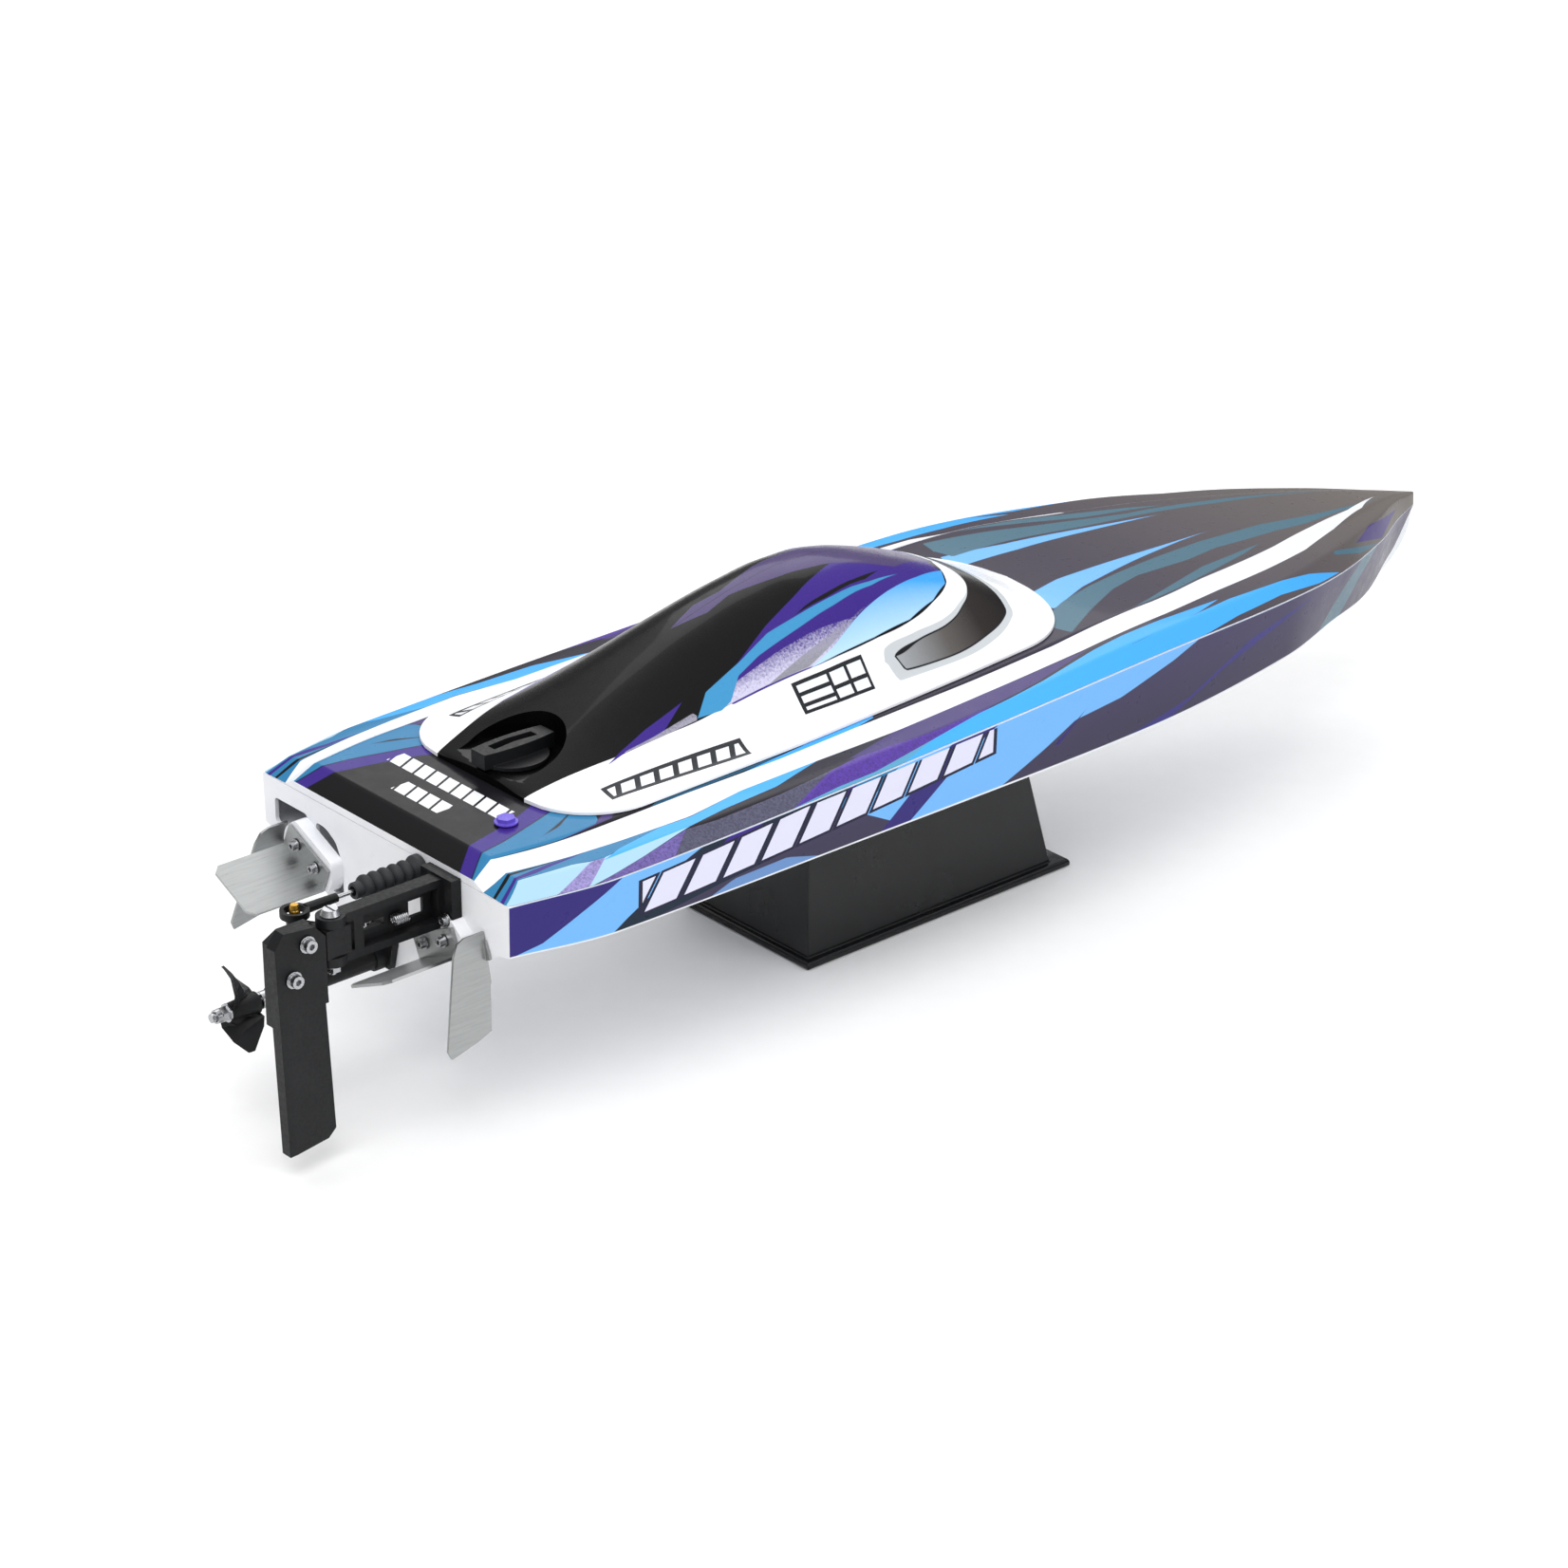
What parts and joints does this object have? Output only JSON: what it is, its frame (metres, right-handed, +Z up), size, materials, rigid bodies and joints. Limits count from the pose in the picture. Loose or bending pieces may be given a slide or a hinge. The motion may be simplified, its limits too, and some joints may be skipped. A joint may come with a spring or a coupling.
{
  "type": "rc boat",
  "caption": "Brushless electric deep-V racing boat with a lift-off hatch, outboard rudder and turn fins, resting on a moulded black stand",
  "frame": {"origin": "centre of the footprint, on the surface that the stand rests on", "axes": "+Y to the bow, +X to starboard, +Z up"},
  "size_m": [0.1864, 0.6996, 0.168],
  "materials": {
    "hull_gelcoat": "glossy white gelcoat with painted purple, blue and grey livery on the sides",
    "deck_livery": "glossy charcoal deck with purple, steel-blue and light-blue bands and a white pinstripe",
    "hatch_livery": "glossy near-black canopy with airbrushed purple and blue sweeps fading to white flanks",
    "black_nylon": "moulded black glass-filled nylon, fine satin grain",
    "stand_plastic": "vacuum-formed gloss black sheet with soft waviness",
    "black_rubber": "soft matte rubber bellows",
    "stainless": "bright stainless hardware",
    "brushed_stainless": "brushed stainless sheet, grain running fore and aft",
    "brass": "plain machined brass",
    "blue_anodised": "blue anodised aluminium",
    "purple_plastic": "translucent-looking purple moulded plug",
    "battery_wrap": "heat-shrink wrap",
    "foam": "closed-cell foam and woven strap",
    "motor_black": "black enamelled can",
    "silicone_wire": "soft silicone insulation"
  },
  "bodies": {
    "stand": {"boat_stand": "stand_plastic"},
    "hull": {"hull_shell": "hull_gelcoat", "deck_shell": "deck_livery", "flood_chamber_wall": "hull_gelcoat", "deck_drain_plug": "purple_plastic", "rudder_bracket": "black_nylon", "bracket_screw_upper": "stainless", "bracket_screw_lower": "stainless", "breakaway_spring": "stainless", "pushrod_boot": "black_rubber", "strut": "black_nylon", "strut_screw_port": "stainless", "strut_screw_starboard": "stainless", "stuffing_tube": "brass", "flex_shaft": "stainless", "trim_tab_port": "brushed_stainless", "trim_tab_starboard": "brushed_stainless", "turn_fin_port": "brushed_stainless", "turn_fin_starboard": "brushed_stainless", "tab_screw_port_1": "stainless", "tab_screw_port_2": "stainless", "tab_screw_starboard_1": "stainless", "tab_screw_starboard_2": "stainless", "fin_screw_port": "stainless", "fin_screw_starboard": "stainless", "motor_can": "motor_black", "motor_mount": "blue_anodised", "water_jacket": "blue_anodised", "speed_controller": "blue_anodised", "receiver_box": "black_nylon", "battery_tray": "hull_gelcoat", "battery_pack": "battery_wrap", "battery_strap_rear": "foam", "battery_strap_front": "foam", "servo_case": "black_nylon", "servo_tray": "hull_gelcoat", "motor_lead_a": "silicone_wire", "motor_lead_b": "silicone_wire", "motor_lead_c": "silicone_wire"},
    "motor_rotor": {"motor_shaft": "stainless", "shaft_coupler": "stainless"},
    "propeller_group": {"propeller_shaft": "stainless", "drive_dog": "stainless", "propeller": "black_nylon", "propeller_nut": "stainless"},
    "rudder_post": {"rudder_holder": "black_nylon", "rudder_pivot_screw": "stainless", "rudder_pivot_nut": "stainless", "tiller_ball_stud": "brass"},
    "rudder_blade_group": {"rudder_blade": "black_nylon", "blade_screw_pivot": "stainless", "blade_screw_shear": "stainless"},
    "pushrod_group": {"pushrod": "stainless", "pushrod_ball_link": "black_nylon"},
    "servo_output": {"servo_arm": "black_nylon"},
    "hatch": {"hatch_shell": "hatch_livery", "hatch_seal": "foam"},
    "latch": {"latch_knob": "black_nylon", "latch_cam": "black_nylon"}
  },
  "joints": [
    {"name": "hull_lift", "type": "slide", "parent": "stand", "child": "hull", "axis": [0, 0, 1], "range_m": [0, 0.12]},
    {"name": "motor_spin", "type": "hinge", "parent": "hull", "child": "motor_rotor", "pos_m": [0, -0.1138, 0.076], "axis": [0, 1, 0], "continuous": true},
    {"name": "propeller_spin", "type": "hinge", "parent": "hull", "child": "propeller_group", "pos_m": [0, -0.3238, 0.054], "axis": [0, 1, 0], "continuous": true},
    {"name": "rudder_steer", "type": "hinge", "parent": "hull", "child": "rudder_post", "pos_m": [0.0425, -0.3198, 0.096], "axis": [0, 0, 1], "range_deg": [-30, 30]},
    {"name": "rudder_kick", "type": "hinge", "parent": "rudder_post", "child": "rudder_blade_group", "pos_m": [0.044, -0.3348, 0.1005], "axis": [-1, 0, 0], "range_deg": [0, 50], "stiffness_Nm_per_rad": 0.5},
    {"name": "pushrod_swing", "type": "hinge", "parent": "rudder_post", "child": "pushrod_group", "pos_m": [0.0255, -0.3248, 0.1025], "axis": [0, 0, 1], "range_deg": [-36, 36], "deforming": ["pushrod_boot"]},
    {"name": "servo_turn", "type": "hinge", "parent": "hull", "child": "servo_output", "pos_m": [0.0425, -0.1678, 0.099], "axis": [0, 0, 1], "range_deg": [-32, 32]},
    {"name": "hatch_open", "type": "hinge", "parent": "hull", "child": "hatch", "pos_m": [0, 0.0812, 0.1237], "axis": [-1, 0, 0], "range_deg": [0, 70]},
    {"name": "latch_turn", "type": "hinge", "parent": "hatch", "child": "latch", "pos_m": [0, -0.1968, 0.121], "axis": [0, 0, 1], "range_deg": [0, 90]}
  ],
  "couplings": [
    {"joint": "propeller_spin", "follows": "motor_spin", "ratio": 1},
    {"joint": "pushrod_swing", "follows": "rudder_steer", "ratio": -0.918},
    {"joint": "servo_turn", "follows": "rudder_steer", "ratio": 1}
  ]
}
